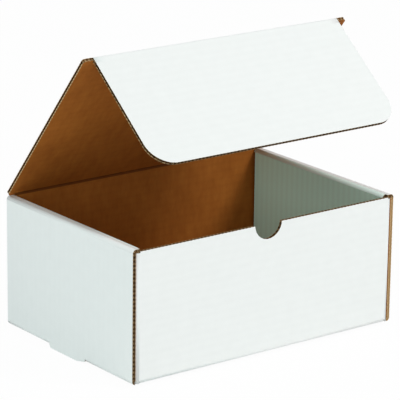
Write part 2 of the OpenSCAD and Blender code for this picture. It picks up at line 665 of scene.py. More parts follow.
    def fold(
        self,
        corner: Vector,
        axis: Vector,
        length: float,
        out_start: Vector,
        out_end: Vector,
        runs: Point = (0.0, 0.0),
    ) -> None:
        """Adds a right-angled fold: the white liner goes round it, and the brown one is creased.

        Args:
            corner: Start of the brown crease line.
            axis: Its direction.
            length: Its length.
            out_start: The way the white face looks before the fold.
            out_end: The way it looks after it.
            runs: Where the tooth pattern starts at the near and the far end.
        """
        t, steps = self.board.thickness, self.fold_steps
        angles = [math.pi / 2 * i / steps for i in range(steps + 1)]
        arc = [out_start * math.cos(a) + out_end * math.sin(a) for a in angles]
        span = math.pi / 2 * t
        end, far_u = axis * length, length * MM
        for i, (p, q) in enumerate(zip(arc, arc[1:])):
            near, next_near = corner + p * t, corner + q * t
            corners = [near, next_near, next_near + end, near + end]
            v0, v1 = span * i / steps * MM, span * (i + 1) / steps * MM
            sheet = [(0.0, v0), (0.0, v1), (far_u, v1), (far_u, v0)]
            self.add([c * MM for c in corners], sheet, Face.WHITE, p + q, True)
        for base, inward, run in ((corner, axis, runs[0]), (corner + end, -axis, runs[1])):
            stations = [
                Station(base + d * t, -d * t, inward, run + span * i / steps)
                for i, d in enumerate(arc)
            ]
            self.cut_strip(stations, Cut.ALONG)

    def skin(self, path: list[tuple[Vector, Vector]], half: float) -> None:
        """Adds a crease that runs along X, with raw ends.

        Args:
            path: Points on the white and on the brown face across the crease, in order.
            half: Half of its length.
        """
        count = self.crease_lengths
        xs = [-half + 2 * half * i / count for i in range(count + 1)]
        corner = path[len(path) // 2][1]
        for side, face in ((0, Face.WHITE), (1, Face.BROWN)):
            run = 0.0
            for a, c in zip(path, path[1:]):
                p, q = a[side], c[side]
                step = (q - p).length
                if step < self.still:
                    continue
                out = (a[0] + c[0]) / 2 - (a[1] + c[1]) / 2
                # Next to the inner corner the brown face darkens: pressed paper and painted shade.
                pressed = side == 1 and min((p - corner).length, (q - corner).length) < self.crease_line
                self.face_tone = self.crease_tone if pressed else 0.0
                v0, v1 = run * MM, (run + step) * MM
                for x0, x1 in zip(xs, xs[1:]):
                    corners = [p + X * x0, p + X * x1, q + X * x1, q + X * x0]
                    sheet = [(x0 * MM, v0), (x1 * MM, v0), (x1 * MM, v1), (x0 * MM, v1)]
                    self.add([k * MM for k in corners], sheet, face, -out if side else out, True)
                run += step
        for sign in (-1, 1):
            run, stations = 0.0, []
            for k, (outer, inner) in enumerate(path):
                run += (outer - path[k - 1][0]).length if k else 0.0
                stations.append(Station(outer + X * half * sign, inner - outer, X * -sign, run))
            self.cut_strip(stations, Cut.ALONG)

    def finish(self, name: str, materials: list[Material]) -> bpy.types.Object:
        """Joins the faces where they meet and makes the object.

        Args:
            name: The piece's name.
            materials: The finishes, in the order of Face.

        Returns:
            The piece, at the origin.
        """
        bmesh.ops.remove_doubles(self.mesh, verts=self.mesh.verts, dist=self.weld)
        data = bpy.data.meshes.new(name)
        self.mesh.to_mesh(data)
        self.mesh.free()
        for material in materials:
            data.materials.append(material)
        return put_in_scene(name, data)


# Finishes.


def start_material(name: str, roughness: float, specular: float) -> tuple[Material, Callable[..., Node]]:
    """Starts a paper's material.

    Args:
        name: Its name.
        roughness: Its roughness.
        specular: Its specular level.

    Returns:
        The material, and add_node for its tree.
    """
    material = bpy.data.materials.new(name)
    material.use_nodes = True
    shader = material.node_tree.nodes["Principled BSDF"]
    shader.inputs["Roughness"].default_value = roughness
    shader.inputs["Specular IOR Level"].default_value = specular
    return material, partial(add_node, material.node_tree)


def end_material(material: Material, colour: Node, bump: Node) -> Material:
    """Links a material's colour, from a Mix node, and its bump to its shader.

    Args:
        material: The material.
        colour: The Mix node.
        bump: The Bump node.

    Returns:
        The material.
    """
    tree = material.node_tree
    shader = tree.nodes["Principled BSDF"]
    tree.links.new(colour.outputs[2], shader.inputs["Base Color"])
    tree.links.new(bump.outputs[0], shader.inputs["Normal"])
    return material


def flute_wave(node: Callable[..., Node], pitch: float) -> tuple[Node, Node]:
    """Adds the wave of the flutes below a liner.

    Args:
        node: add_node for the material's tree.
        pitch: Flute pitch.

    Returns:
        The sheet's coordinates, and the wave from -1 to 1.
    """
    uv = node("ShaderNodeUVMap", uv_map="Sheet")
    place = node("ShaderNodeSeparateXYZ", {0: uv})
    turns = node("ShaderNodeMath", {0: place.outputs[1], 1: 2 * math.pi / (pitch * MM)}, operation="MULTIPLY")
    return uv, node("ShaderNodeMath", {0: turns}, operation="SINE")


@dataclass(frozen=True)
class BleachedLiner:
    """White outer paper of the board: a smooth bleached face over the flutes.

    Attributes:
        light: Colour where it lies on a flute, a painted highlight of the washboard.
        shade: Colour between the flutes, painted shade of the washboard, and of the paper's darker mottle.
        inner: Colour of the lengths that are rolled to the inside: the same white paper, painted darker and
            greener as the shade inside the box.
        stripe: Colour of the stripes that the flutes leave on them, painted shade a little darker still.
        pitch: Flute pitch, which shows as a faint washboard.
        wave: Height of the washboard.
    """

    light: str = "f6f8f7"
    shade: str = "f1f3f2"
    inner: str = "d0f2e3"
    stripe: str = "ccecdd"
    pitch: float = 6.35
    wave: float = 0.012

    def build(self) -> Material:
        """Makes the material: near-white, matt, with the flutes just felt through the paper.

        Returns:
            The material.
        """
        # Bleached kraft liner, calendered: even white, a low broad sheen, flutes faintly visible.
        material, node = start_material("bleached_kraft_liner", 0.62, 0.25)
        uv, wave = flute_wave(node, self.pitch)
        # Mottle of the paper, about 9 mm from cloud to cloud.
        mottle = node("ShaderNodeTexNoise", {"Vector": uv, "Scale": 110.0, "Detail": 3.0, "Roughness": 0.55})
        # Fibres are 1 to 2 mm long; their clumps are drawn 1.4 mm apart so that they show.
        fibre = node("ShaderNodeTexNoise", {"Vector": uv, "Scale": 700.0, "Detail": 2.0})
        # The flute wave paints the washboard's light and shade; the mottle is the paper's own.
        share = node("ShaderNodeMath", {0: wave, 1: 0.09, 2: mottle.outputs["Fac"]}, operation="MULTIPLY_ADD")
        paper = node("ShaderNodeMix", {0: share, 6: srgb(self.shade), 7: srgb(self.light)}, data_type="RGBA")
        # Painted shade: the lengths that face the inside of the box take a darker, greener white, with darker
        # stripes at the flute pitch.
        stripe = node("ShaderNodeMapRange", {"Value": wave, "From Min": -1.0, "From Max": 1.0})
        stripes = {0: stripe, 6: srgb(self.stripe), 7: srgb(self.inner)}
        rolled = node("ShaderNodeMix", stripes, data_type="RGBA")
        tone = node("ShaderNodeAttribute", attribute_name="Tone")
        sides = {0: tone.outputs["Fac"], 6: paper.outputs[2], 7: rolled.outputs[2]}
        colour = node("ShaderNodeMix", sides, data_type="RGBA")
        rough = node("ShaderNodeMath", {0: fibre.outputs["Fac"], 1: 0.5, 2: wave}, operation="MULTIPLY_ADD")
        bump = node("ShaderNodeBump", {"Strength": 1.0, "Distance": self.wave * MM, "Height": rough})
        return end_material(material, colour, bump)


@dataclass(frozen=True)
class KraftLiner:
    """Brown inner paper of the board: unbleached kraft with fibre streaks.

    Attributes:
        light: Colour of the paper's light fibres.
        dark: Colour of its dark fibres.
        crest: Colour of the lines where the flutes are glued; also of pressed creases, where it is partly
            painted shade of the inner corner, and of painted shade inside open flutes.
        pitch: Flute pitch.
        wave: Height of the washboard.
    """

    light: str = "b8702a"
    dark: str = "9c591b"
    crest: str = "62320c"
    pitch: float = 6.35
    wave: float = 0.014

    def build(self) -> Material:
        """Makes the material: warm brown, matt, with glue lines and fibre streaks.

        Returns:
            The material.
        """
        # Unbleached kraft liner: long fibres give streaks, and each glue line shows a shade darker.
        material, node = start_material("unbleached_kraft_liner", 0.8, 0.2)
        uv, wave = flute_wave(node, self.pitch)
        # Streaks lie across the flutes, the way the paper ran through the machine: 6 x 14 mm.
        stretch = node("ShaderNodeMapping", {"Vector": uv, "Scale": (170.0, 70.0, 1.0)})
        fine = {"Vector": stretch, "Scale": 1.0, "Detail": 4.0, "Roughness": 0.6}
        streak = node("ShaderNodeTexNoise", fine)
        # Clouds of lighter and darker paper, about 45 mm apart.
        cloud = node("ShaderNodeTexNoise", {"Vector": uv, "Scale": 22.0, "Detail": 3.0})
        both = node("ShaderNodeMath", {0: streak.outputs["Fac"], 1: cloud.outputs["Fac"]}, operation="ADD")
        share = node("ShaderNodeMapRange", {"Value": both, "From Min": 0.6, "From Max": 1.4})
        paper = node("ShaderNodeMix", {0: share, 6: srgb(self.dark), 7: srgb(self.light)}, data_type="RGBA")
        line = node("ShaderNodeMapRange", {"Value": wave, "From Min": 0.0, "From Max": 1.0, "To Max": 0.05})
        tone = node("ShaderNodeAttribute", attribute_name="Tone")
        # Tone darkens pressed creases, partly with painted shade, and the faces inside open flutes with
        # painted shade.
        pressed = node("ShaderNodeMath", {0: line, 1: tone.outputs["Fac"]}, operation="MAXIMUM")
        shades = {0: pressed, 6: paper.outputs[2], 7: srgb(self.crest)}
        colour = node("ShaderNodeMix", shades, data_type="RGBA")
        rough = node("ShaderNodeMath", {0: streak.outputs["Fac"], 1: 0.4, 2: wave}, operation="MULTIPLY_ADD")
        bump = node("ShaderNodeBump", {"Strength": 1.0, "Distance": self.wave * MM, "Height": rough})
        return end_material(material, colour, bump)


@dataclass(frozen=True)
class RawEdge:
    """Cut edge of the board: torn fibres, lighter where the teeth pressed the paper.

    Attributes:
        fibre: Colour of the pressed, torn fibres.
        hollow: Colour deep between the liners.
        edge_shade: Colour of painted shade on the darkest edges, in patches where the paper is torn open.
        tooth_pitch: Distance between the teeth of the cutting rule.
    """

    fibre: str = "e6c594"
    hollow: str = "5f3c18"
    edge_shade: str = "2a1808"
    tooth_pitch: float = 3.175

    def build(self) -> Material:
        """Makes the material: brown, with a light bead at each tooth in the middle of the edge.

        Returns:
            The material.
        """
        # Raw corrugated edge: the rule's teeth tear and press the paper, so it has tan beads.
        material, node = start_material("raw_board_edge", 0.9, 0.1)
        uv = node("ShaderNodeUVMap", uv_map="Sheet")
        place = node("ShaderNodeSeparateXYZ", {0: uv})
        half_turn = math.pi / (self.tooth_pitch * MM)
        turns = node("ShaderNodeMath", {0: place.outputs[0], 1: half_turn}, operation="MULTIPLY")
        sine = node("ShaderNodeMath", {0: turns}, operation="SINE")
        tooth = node("ShaderNodeMath", {0: sine, 1: sine}, operation="MULTIPLY")
        # The second coordinate is the share of the thickness, so the liners' edges are far out.
        off = node("ShaderNodeMath", {0: place.outputs[1], 1: 0.5}, operation="SUBTRACT")
        away = node("ShaderNodeMath", {0: off}, operation="ABSOLUTE")
        middle = node("ShaderNodeMapRange", {"Value": away, "From Min": 0.36, "From Max": 0.1})
        rims = {"Value": away, "From Min": 0.34, "From Max": 0.42, "To Max": 0.75}
        liner = node("ShaderNodeMapRange", rims)
        bead = node("ShaderNodeMath", {0: tooth, 1: middle}, operation="MULTIPLY")
        # Torn tufts, about 4 mm apart, that catch or lose the light along the edge.
        tuft = node("ShaderNodeTexNoise", {"Vector": uv, "Scale": 260.0, "Detail": 2.0})
        tufts = tuft.outputs["Fac"]
        lights = {"Value": tufts, "From Min": 0.4, "From Max": 0.6, "To Min": 0.4}
        patch = node("ShaderNodeMapRange", lights)
        lit = node("ShaderNodeMath", {0: bead, 1: patch}, operation="MULTIPLY")
        broken = node("ShaderNodeMapRange", {"Value": tooth, "To Min": 0.35})
        rim = node("ShaderNodeMath", {0: liner, 1: broken}, operation="MULTIPLY")
        light = node("ShaderNodeMath", {0: lit, 1: rim}, operation="MAXIMUM")
        # A tone below 0 makes the whole edge paler, and one above 0 darkens patches of it with painted shade,
        # less on the beads.
        tone = node("ShaderNodeAttribute", attribute_name="Tone").outputs["Fac"]
        paler = node("ShaderNodeMath", {0: tone, 1: -1.0}, operation="MULTIPLY")
        torn = node("ShaderNodeMath", {0: light, 1: paler}, operation="MAXIMUM")
        pale = node("ShaderNodeMix", {0: torn, 6: srgb(self.hollow), 7: srgb(self.fibre)}, data_type="RGBA")
        darks = {"Value": tufts, "From Min": 0.62, "From Max": 0.4, "To Min": 0.15, "To Max": 1.4}
        shade_patch = node("ShaderNodeMapRange", darks)
        torn_shade = node("ShaderNodeMath", {0: tone, 1: shade_patch}, operation="MULTIPLY", use_clamp=True)
        off_bead = node("ShaderNodeMapRange", {"Value": light, "To Min": 1.0, "To Max": 0.3})
        shade_share = node("ShaderNodeMath", {0: torn_shade, 1: off_bead}, operation="MULTIPLY")
        colour = node("ShaderNodeMix", {0: shade_share, 6: pale.outputs[2], 7: srgb(self.edge_shade)}, data_type="RGBA")
        # Fibre ends stand about a tenth of a millimetre proud, drawn 0.8 mm apart.
        fuzz = node("ShaderNodeTexNoise", {"Vector": uv, "Scale": 1200.0, "Detail": 2.0})
        bump = node("ShaderNodeBump", {"Strength": 0.6, "Distance": 0.1 * MM, "Height": fuzz.outputs["Fac"]})
        return end_material(material, colour, bump)


@dataclass(frozen=True)
class FlutingPaper:
    """The wavy paper between the liners: coarse brown paper.

    Attributes:
        light: Colour of its light fibres.
        dark: Colour of its dark fibres.
    """

    light: str = "7c5429"
    dark: str = "4f3516"

    def build(self) -> Material:
        """Makes the material: rough grey-brown paper with coarse specks.

        Returns:
            The material.
        """
        # Semi-chemical fluting medium: rough, a little greyer than kraft, with 1.5 mm specks.
        material, node = start_material("fluting_medium", 0.9, 0.1)
        place = node("ShaderNodeTexCoord")
        speck = node("ShaderNodeTexNoise", {"Vector": place.outputs["Object"], "Scale": 650.0, "Detail": 3.0})
        specks = speck.outputs["Fac"]
        colour = node("ShaderNodeMix", {0: specks, 6: srgb(self.dark), 7: srgb(self.light)}, data_type="RGBA")
        bump = node("ShaderNodeBump", {"Strength": 0.5, "Distance": 0.05 * MM, "Height": specks})
        return end_material(material, colour, bump)


@dataclass
class Finishes:
    """The materials of the whole box, made once.

    Attributes:
        white: The outer liner.
        brown: The inner liner.
        cut: The raw edges.
        medium: The wavy paper.
    """

    white: Material = field(default_factory=lambda: BleachedLiner().build())
    brown: Material = field(default_factory=lambda: KraftLiner().build())
    cut: Material = field(default_factory=lambda: RawEdge().build())
    medium: Material = field(default_factory=lambda: FlutingPaper().build())

    def sheet(self) -> list[Material]:
        """Gives the three finishes of a sheet, in the order of Face."""
        return [self.white, self.brown, self.cut]


# The wavy paper.


@dataclass
class Fluting:
    """The wavy paper of one open-edged panel, one wave repeated by Geometry Nodes.

    Attributes:
        plane: The panel it lies in.
        start: Where the first wave starts, across the flutes.
        count: Number of waves.
        half: Half length of the flutes.
        corner_r: Radius of the panel's two far corners.
        far: Where the panel ends, across the flutes.
        board: The board.
    """

    plane: Plane
    start: float
    count: int
    half: float
    corner_r: float
    far: float
    board: Board

    def one_wave(self) -> bpy.types.Object:
        """Makes the first wave, from end to end of a flute of half length 1.

        Returns:
            The wave.
        """
        b = self.board
        reach = b.thickness / 2 - b.liner - b.medium / 2
        mesh = bmesh.new()
        samples = 14
        rings = []
        for i in range(samples + 1):
            v = b.flute_pitch * i / samples
            angle = 2 * math.pi * i / samples
            slope = reach * 2 * math.pi / b.flute_pitch * math.cos(angle)
            size = math.hypot(1, slope)
            lift = b.thickness / 2 + reach * math.sin(angle)
            ring = []
            for side in (-1, 1):
                dv, dw = -slope / size * b.medium / 2 * side, b.medium / 2 / size * side
                point = self.plane.place(0, self.start + v + dv, lift + dw)
                ring += [mesh.verts.new(point + X * x) for x in (-1, 1)]
            rings.append(ring)
        for a, c in zip(rings, rings[1:]):
            for p, q in ((0, 1), (3, 2), (1, 3), (2, 0)):
                mesh.faces.new([a[p], a[q], c[q], c[p]])
        bmesh.ops.recalc_face_normals(mesh, faces=mesh.faces)
        data = bpy.data.meshes.new("one_wave")
        mesh.to_mesh(data)
        mesh.free()
        return put_in_scene("one_wave", data)

    def tree(self) -> bpy.types.NodeTree:
        """Makes the node tree that repeats the wave and trims it to the panel's outline.

        Returns:
            The tree, with a named input for each size.
        """
        tree = bpy.data.node_groups.new("flutes_in_panel", "GeometryNodeTree")
        for name, kind in (
            ("Wave", "Geometry"),
            ("Flute count", "Int"),
            ("Flute step", "Vector"),
            ("Panel zero", "Vector"),
            ("Panel direction", "Vector"),
            ("Half length", "Float"),
            ("Corner radius", "Float"),
            ("Corner start", "Float"),
            ("Paper", "Material"),
        ):
            tree.interface.new_socket(name, in_out="INPUT", socket_type=f"NodeSocket{kind}")
        tree.interface.new_socket("Fluting", in_out="OUTPUT", socket_type="NodeSocketGeometry")
        node = partial(add_node, tree)
        given = node("NodeGroupInput").outputs
        row = node("GeometryNodeMeshLine", {"Count": given["Flute count"], "Offset": given["Flute step"]})
        copies = node("GeometryNodeInstanceOnPoints", {"Points": row, "Instance": given["Wave"]})
        real = node("GeometryNodeRealizeInstances", {0: copies})
        joined = node("GeometryNodeMergeByDistance", {"Geometry": real, "Distance": 1e-6})
        # The half length at a point: full up to the corner, then the corner's circle.
        place = node("GeometryNodeInputPosition")
        offset = node("ShaderNodeVectorMath", {0: place, 1: given["Panel zero"]}, operation="SUBTRACT")
        way = given["Panel direction"]
        along = node("ShaderNodeVectorMath", {0: offset, 1: way}, operation="DOT_PRODUCT")
        corner = {0: along.outputs["Value"], 1: given["Corner start"]}
        past = node("ShaderNodeMath", corner, operation="SUBTRACT")
        into = node("ShaderNodeMath", {0: past, 1: 0.0}, operation="MAXIMUM")
        square = node("ShaderNodeMath", {0: into, 1: into}, operation="MULTIPLY")
        radius = given["Corner radius"]
        radius_square = node("ShaderNodeMath", {0: radius, 1: radius}, operation="MULTIPLY")
        left = node("ShaderNodeMath", {0: radius_square, 1: square}, operation="SUBTRACT")
        floor = node("ShaderNodeMath", {0: left, 1: 0.0}, operation="MAXIMUM")
        root = node("ShaderNodeMath", {0: floor, 1: 0.5}, operation="POWER")
        core = node("ShaderNodeMath", {0: given["Half length"], 1: radius}, operation="SUBTRACT")
        half = node("ShaderNodeMath", {0: core, 1: root}, operation="ADD")
        parts = node("ShaderNodeSeparateXYZ", {0: place})
        x = node("ShaderNodeMath", {0: parts, 1: half}, operation="MULTIPLY")
        trimmed = node("ShaderNodeCombineXYZ", {0: x, 1: parts.outputs[1], 2: parts.outputs[2]})
        shaped = node("GeometryNodeSetPosition", {"Geometry": joined, "Position": trimmed})
        plain = node("GeometryNodeRealizeInstances", {0: shaped})
        papered = node("GeometryNodeSetMaterial", {"Geometry": plain, "Material": given["Paper"]})
        node("NodeGroupOutput", {0: papered})
        return tree

    def build(self, name: str, paper: Material) -> bpy.types.Object:
        """Repeats the wave over the panel.

        Args:
            name: The piece's name.
            paper: Its material.

        Returns:
            The wavy paper as a plain mesh, at the origin.
        """
        wave = self.one_wave()
        tree = self.tree()
        direction = self.plane.across.normalized()
        values = {
            "Flute count": self.count,
            "Flute step": direction * self.board.flute_pitch * MM,
            "Panel zero": self.plane.origin * MM,
            "Panel direction": direction,
            "Half length": self.half * MM,
            "Corner radius": self.corner_r * MM,
            "Corner start": (self.far - self.corner_r) * MM,
            "Paper": paper,
        }
        modifier = wave.modifiers.new("flutes", "NODES")
        modifier.node_group = tree
        for item in tree.interface.items_tree:
            if item.in_out == "INPUT" and item.name in values:
                modifier[item.identifier] = values[item.name]
        wave.update_tag()
        bpy.context.view_layer.update()
        graph = bpy.context.evaluated_depsgraph_get()
        data = bpy.data.meshes.new_from_object(wave.evaluated_get(graph), depsgraph=graph)
        wave.modifiers.clear()
        bpy.data.objects.remove(wave)
        data.name = name
        LOG.info("%s: %d flutes, %d faces", name, self.count, len(data.polygons))
        return put_in_scene(name, data)


# The box.


@dataclass(frozen=True)
class EdgeTones:
    """How dark each raw edge is, from -1, paler all over, to 1, with dark patches of painted shade.

    Attributes:
        wall: Front and back wall.
        front_left: Front wall's top, left of the thumb notch.
        front_right: The same, right of it.
        notch: The thumb notch.
        right_side: Right outer side wall.
        left_side: Left outer side wall, darkened with painted shade of the groove beside the front wall's
            fold.
        roll: Ends of the rolled tops.
        hidden: Inner side walls and corner flaps.
        lid: Lid panel.
        flap: Tuck flap.
    """

    wall: float = 0.2
    front_left: float = 0.35
    front_right: float = 0.55
    notch: float = 0.8
    right_side: float = -0.7
    left_side: float = 0.7
    roll: float = 0.25
    hidden: float = 0.4
    lid: float = 0.0
    flap: float = 0.8


@dataclass
class Tray:
    """Floor, front and back walls, corner flaps and rolled side walls, all of one sheet.

    Attributes:
        sizes: The box's sizes.
        board: The board.
        tones: How dark its raw edges are.
        crease_reach: How far the lid's crease reaches down into the back wall.
        corner_foot: Height over the floor's underside at which the corner folds end.
        inner_trim: How much shorter than their solids the inner side walls are at each end.
        roll_face: How far the rolled tops' inner folds take the inner side walls' painted shade.
        front_phase: Where the flutes start on the front wall.
        back_phase: Where they start on the back wall.
        notch_run: Where the teeth start round the thumb notch.
        notch_steps: Number of steps round it.
    """

    sizes: BoxSizes
    board: Board
    tones: EdgeTones
    crease_reach: float = 4.0
    corner_foot: float = 0.4
    inner_trim: float = 1.1
    roll_face: float = 0.5
    front_phase: float = 2.0
    back_phase: float = 1.1
    notch_run: float = 0.7
    notch_steps: int = 26

    def build(self, finishes: Finishes) -> bpy.types.Object:
        """Builds the tray and makes it stand for its solid.

        Args:
            finishes: The materials.

        Returns:
            The piece.
        """
        sheet, tones = SheetMesh(self.board), self.tones
        self._floor(sheet)
        sheet.edge_tone = tones.wall
        self._front(sheet)
        self._back(sheet)
        for mirror, tone in ((1, tones.right_side), (-1, tones.left_side)):
            sheet.edge_tone = tone
            self._outer_side(sheet, mirror)
            sheet.edge_tone = tones.roll
            self._roll(sheet, mirror)
            sheet.edge_tone = tones.hidden
            self._inner_side(sheet, mirror)
            for side in (-1, 1):
                self._corner_flap(sheet, mirror, side)
        piece = sheet.finish("tray_sheet", finishes.sheet())
        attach(piece, "tray")
        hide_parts("tray")
        return piece

    def _floor(self, sheet: SheetMesh) -> None:
        """Adds the floor with its lock slots, and the folds to the front and the back wall.

        Args:
            sheet: The sheet.
        """
        s, t = self.sizes, self.sizes.board_t
        end, x, y = s.wall_end, s.box_w / 2 - t, s.box_d / 2 - t
        inner = s.inner_face - s.slot_play
        sides = []
        for m in (1, -1):
            y0, y1 = s.slot_ends[::m]
            sides += [
                Side([(-m * end, -m * y), (m * end, -m * y)], Cut.FOLD),
                Side([(m * end, -m * y), (m * x, -m * y)], Cut.ALONG),
                Side([(m * x, -m * y), (m * x, y0)], Cut.FOLD),
                Side([(m * x, y0), (m * inner, y0)], Cut.ALONG),
                Side([(m * inner, y0), (m * inner, y1)], Cut.ACROSS),
                Side([(m * inner, y1), (m * x, y1)], Cut.ALONG),
                Side([(m * x, y1), (m * x, m * y)], Cut.FOLD),
                Side([(m * x, m * y), (m * end, m * y)], Cut.ALONG),
            ]
        sheet.panel(Plane(Vector((0, 0, 0)), X, Y, -Z), sides)
        for side in (-1, 1):
            sheet.fold(Vector((-end, side * y, t)), X, 2 * end, -Z, Y * side)

    def _wall(self, top: float, edge: list[Side]) -> list[Side]:
        """Gives the outline of the front or the back wall.

        Args:
            top: Height of its top edge.
            edge: The top edge, from right to left.

        Returns:
            The sides, in order.
        """
        s, t = self.sizes, self.sizes.board_t
        end, step, under, low = s.wall_end, s.throat, s.under_roll, t + s.layer_gap
        return [
            Side([(-end, t), (end, t)], Cut.FOLD),
            Side([(end, t), (end, low)], Cut.ACROSS),
            Side([(end, low), (end, under)], Cut.FOLD),
            Side([(end, under), (step, under), (step, top)], Cut.ALONG),
            *edge,
            Side([(-step, top), (-step, under), (-end, under)], Cut.ALONG),
            Side([(-end, under), (-end, low)], Cut.FOLD),
            Side([(-end, low), (-end, t)], Cut.ACROSS),
        ]

    def _front(self, sheet: SheetMesh) -> None:
        """Adds the front wall with its thumb notch.

        Args:
            sheet: The sheet.
        """
        s, tones, top = self.sizes, self.tones, self.sizes.front_top
        reach = math.sqrt(s.notch_r**2 - s.notch_rise**2)
        angle = math.degrees(math.asin(s.notch_rise / s.notch_r))
        centre = (0.0, top + s.notch_rise)
        notch = rounded(centre, s.notch_r, -angle, -180 + angle, self.notch_steps)
        edge = [
            Side([(s.throat, top), (reach, top)], Cut.ALONG, tone=tones.front_right),
            Side(notch, Cut.ALONG, run=self.notch_run, tone=tones.notch),
            Side([(-reach, top), (-s.throat, top)], Cut.ALONG, tone=tones.front_left),
        ]
        plane = Plane(Vector((0, -s.box_d / 2, 0)), X, Z, -Y, self.front_phase)
        sheet.panel(plane, self._wall(top, edge))

    def _back(self, sheet: SheetMesh) -> None:
        """Adds the back wall up to the lid's crease.

        Args:
            sheet: The sheet.
        """
        s = self.sizes
        top = s.hinge.z - self.crease_reach
        edge = [Side([(s.throat, top), (-s.throat, top)], Cut.FOLD)]
        plane = Plane(Vector((0, s.box_d / 2, 0)), X, Z, Y, self.back_phase)
        sheet.panel(plane, self._wall(top, edge))

    def _corner_flap(self, sheet: SheetMesh, mirror: int, side: int) -> None:
        """Adds one corner flap and its fold.

        Args:
            sheet: The sheet.
            mirror: 1 for the right side of the box, -1 for the left.
            side: -1 for the flap of the front wall, 1 for the back wall's.
        """
        s, t = self.sizes, self.sizes.board_t
        low, high = t + s.layer_gap, s.under_roll
        y = s.box_d / 2 - t
        far, drop = s.corner_flap_l - y, s.corner_flap_taper
        sides = [
            Side([(-y, high), (-y, low)], Cut.FOLD),
            Side([(-y, low), (far, low + drop)], Cut.ALONG),
            Side([(far, low + drop), (far, high - drop)], Cut.ACROSS),
            Side([(far, high - drop), (-y, high)], Cut.ALONG),
        ]
        sheet.panel(Plane(Vector((mirror * s.flap_face, 0, 0)), Y * -side, Z, X * mirror), sides)
        # The fold's outer liner hangs down over the open corner beside the floor.
        corner = Vector((mirror * s.wall_end, side * y, self.corner_foot))
        sheet.fold(corner, Z, high - self.corner_foot, Y * side, X * mirror)

    def _outer_side(self, sheet: SheetMesh, mirror: int) -> None:
        """Adds an outer side wall with its foot lip, and its fold off the floor.

        Args:
            sheet: The sheet.
            mirror: 1 for the right side of the box, -1 for the left.
        """
        s, t = self.sizes, self.sizes.board_t
        end, top, foot = s.box_d / 2 - s.side_set_back, s.side_top - t, -s.lip_h
        y0, y1 = s.slot_ends
        front, back = y0 + s.lip_front_ramp, y1 - s.lip_ramp
        arc = math.pi / 2 * t
        sides = [
            Side([(t, end), (t, y1)], Cut.FOLD),
            Side([(t, y1), (0, y1), (foot, back)], Cut.ALONG),
            Side([(foot, back), (foot, front)], Cut.ACROSS),
            Side([(foot, front), (0, y0), (t, y0)], Cut.ALONG),
            Side([(t, y0), (t, -end)], Cut.FOLD),
            Side([(t, -end), (top, -end)], Cut.ALONG, run=arc),
            Side([(top, -end), (top, end)], Cut.FOLD),
            Side([(top, end), (t, end)], Cut.ALONG, run=arc),
        ]
        sheet.panel(Plane(Vector((mirror * s.box_w / 2, 0, 0)), Z, Y, X * mirror), sides)
        x = mirror * (s.box_w / 2 - t)
        for start, stop in ((-end, y0), (y1, end)):
            sheet.fold(Vector((x, start, t)), Y, stop - start, -Z, X * mirror)

    def _roll(self, sheet: SheetMesh, mirror: int) -> None:
        """Adds the rolled top of a side wall: two folds with a flat strip between them.

        Args:
            sheet: The sheet.
            mirror: 1 for the right side of the box, -1 for the left.
        """
        s, t = self.sizes, self.sizes.board_t
        end = s.box_d / 2 - s.side_set_back
        inner_end = s.box_d / 2 - t - s.inner_end_gap
        low, high, z = s.roll_inner, s.box_w / 2 - t, s.side_top - t
        arc = math.pi / 2 * t
        run = arc + s.side_top - 2 * t
        sides = [
            Side([(high, -end), (high, end)], Cut.FOLD),
            Side([(high, end), (low, end)], Cut.ALONG, run=run + arc),
            Side([(low, end), (low, inner_end)], Cut.ACROSS),
            Side([(low, inner_end), (low, -inner_end)], Cut.FOLD),
            Side([(low, -inner_end), (low, -end)], Cut.ACROSS),
            Side([(low, -end), (high, -end)], Cut.ALONG, run=run + arc),
        ]
        sheet.panel(Plane(Vector((0, 0, s.side_top)), X * mirror, Y, Z), sides)
        sheet.fold(Vector((mirror * high, -end, z)), Y, 2 * end, X * mirror, Z, (run, run))
        # The inner fold takes part of the inner side walls' painted shade.
        sheet.face_tone = self.roll_face
        sheet.fold(Vector((mirror * low, -inner_end, z)), Y, 2 * inner_end, Z, X * -mirror)
        sheet.face_tone = 0.0

    def _inner_side(self, sheet: SheetMesh, mirror: int) -> None:
        """Adds an inner side wall, white to the inside, with the tab that locks in the slot.

        Args:
            sheet: The sheet.
            mirror: 1 for the right side of the box, -1 for the left.
        """
        s, t = self.sizes, self.sizes.board_t
        end = s.box_d / 2 - t - s.inner_end_gap - self.inner_trim
        low, top = t + s.layer_gap, s.side_top - t
        y0, y1 = s.slot_ends[0] + s.tab_play, s.slot_ends[1] - s.tab_play
        sides = [
            Side([(top, -end), (top, end)], Cut.FOLD),
            Side([(top, end), (low, end)], Cut.ALONG),
            Side([(low, end), (low, y1)], Cut.ACROSS),
            Side([(low, y1), (0, y1)], Cut.ALONG),
            Side([(0, y1), (0, y0)], Cut.ACROSS),
            Side([(0, y0), (low, y0)], Cut.ALONG),
            Side([(low, y0), (low, -end)], Cut.ACROSS),
            Side([(low, -end), (top, -end)], Cut.ALONG),
        ]
        # The inner side wall is white paper, painted with the shade inside the box.
        sheet.face_tone = 1.0
        sheet.panel(Plane(Vector((mirror * s.inner_face, 0, 0)), Z, Y, X * -mirror), sides)
        sheet.face_tone = 0.0


